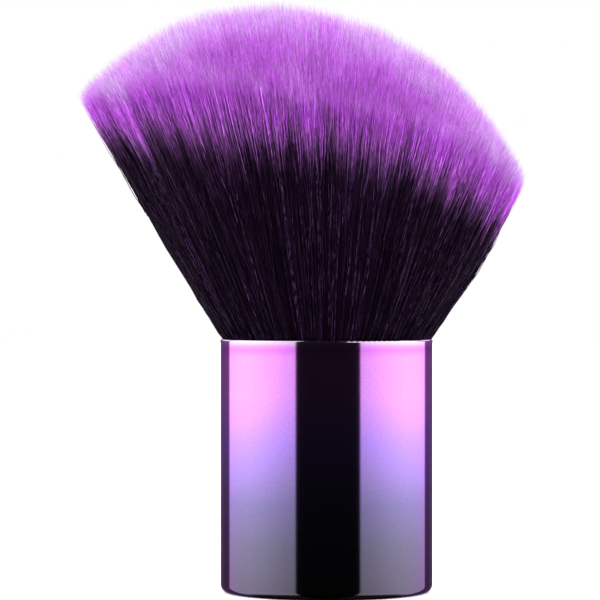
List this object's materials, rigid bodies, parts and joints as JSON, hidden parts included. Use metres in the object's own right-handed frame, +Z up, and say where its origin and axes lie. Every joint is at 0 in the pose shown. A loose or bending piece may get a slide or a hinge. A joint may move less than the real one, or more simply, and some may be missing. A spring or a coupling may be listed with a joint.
{
  "type": "kabuki makeup brush",
  "caption": "Short-handled makeup brush with a lacquered metal cup handle and a wide head of dark bristles with dyed tips, trimmed to a dome that leans to one side.",
  "frame": {"origin": "centre of the flat base, on the axis of the handle", "axes": "+Z up the handle towards the bristles, -Y the front, and the tall side of the leaning head towards -X"},
  "size_m": [0.0689, 0.0752, 0.0919],
  "materials": {
    "ombre_lacquer": "tinted gloss lacquer over bright metal, magenta violet at the mouth fading to near black at the base",
    "adhesive_foam": "soft white foam",
    "ballast_steel": "plain turned steel",
    "core_plastic": "black moulded plastic",
    "glue": "set glue, slightly yellow",
    "ferrule_metal": "plain spun sheet",
    "resin": "set casting resin, amber",
    "bristles": "fine synthetic filaments, dark aubergine below and orchid purple at the tips"
  },
  "bodies": {
    "root": {"handle_sleeve": "ombre_lacquer", "ballast_pad": "adhesive_foam", "ballast_slug": "ballast_steel", "inner_core": "core_plastic", "core_glue_rings": "glue", "root_ferrule": "ferrule_metal", "root_resin": "resin", "centre_tuft": "bristles", "inner_tufts": "bristles", "middle_tufts": "bristles", "outer_tufts": "bristles", "edge_tufts": "bristles"}
  },
  "joints": []
}
